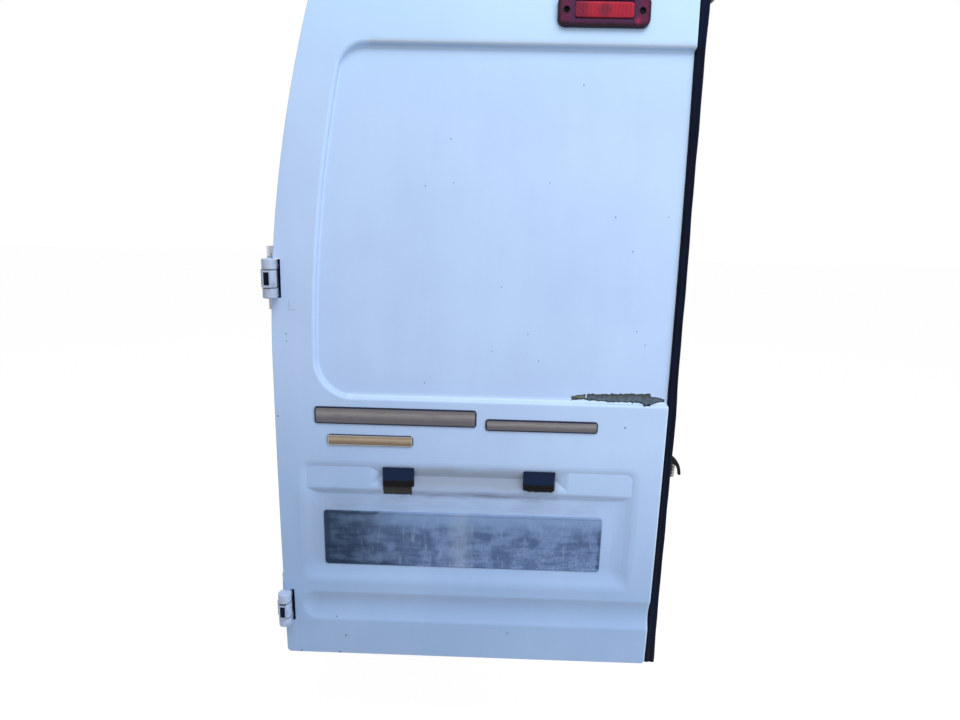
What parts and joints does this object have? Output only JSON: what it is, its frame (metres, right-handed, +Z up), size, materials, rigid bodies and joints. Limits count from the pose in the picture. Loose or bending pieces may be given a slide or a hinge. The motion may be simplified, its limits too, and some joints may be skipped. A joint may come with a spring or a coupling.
{
  "type": "van rear door",
  "caption": "Barrel-curved left rear door of a panel van, with a blank window recess, number plate recess, high brake lamp, outside hinges and a black meeting seal.",
  "frame": {"origin": "middle of the lower hinge strap's bolting face on the door pillar", "axes": "+X from the hinge edge to the meeting edge, +Y into the van, +Z up; the outer face looks to -Y and the door is shut"},
  "size_m": [0.7555, 0.1483, 1.23],
  "materials": {
    "body_paint": "gloss",
    "steel": "satin",
    "rubber": "matte",
    "black_plastic": "satin",
    "lamp_red_dark": "gloss",
    "lamp_red": "gloss",
    "black_gloss": "gloss",
    "clear_lens": "gloss",
    "plate": "satin",
    "bright_trim": "gloss",
    "grey_plastic": "matte"
  },
  "bodies": {
    "hinge_straps": {"upper_hinge_strap": "body_paint", "upper_hinge_buffer": "rubber", "lower_hinge_strap": "body_paint", "lower_hinge_buffer": "rubber"},
    "door": {"brake_lamp_gasket": "rubber", "brake_lamp_housing": "lamp_red_dark", "brake_lamp_lens": "lamp_red", "grade_strip": "bright_trim", "inner_panel": "body_paint", "long_name_strip": "bright_trim", "lower_catch": "steel", "lower_hinge_gasket": "rubber", "lower_hinge_leaf": "body_paint", "lower_hinge_pin": "steel", "lower_trim_panel": "grey_plastic", "meeting_seal": "rubber", "number_plate": "plate", "outer_skin": "body_paint", "plate_lamp_housing_left": "black_gloss", "plate_lamp_housing_right": "black_gloss", "plate_lamp_lens_left": "clear_lens", "plate_lamp_lens_right": "clear_lens", "release_bezel": "black_plastic", "release_handle": "black_plastic", "short_name_strip": "bright_trim", "striker_loop": "steel", "striker_plate": "steel", "striker_wedge": "black_plastic", "upper_catch": "steel", "upper_hinge_gasket": "rubber", "upper_hinge_leaf": "body_paint", "upper_hinge_pin": "steel", "wiring_grommet": "rubber"}
  },
  "joints": [
    {"name": "door_swing", "type": "hinge", "parent": "hinge_straps", "child": "door", "pos_m": [0.0145, -0.03897, 0.00145], "axis": [0, -0.0372, -0.9993], "range_deg": [0, 180]}
  ]
}
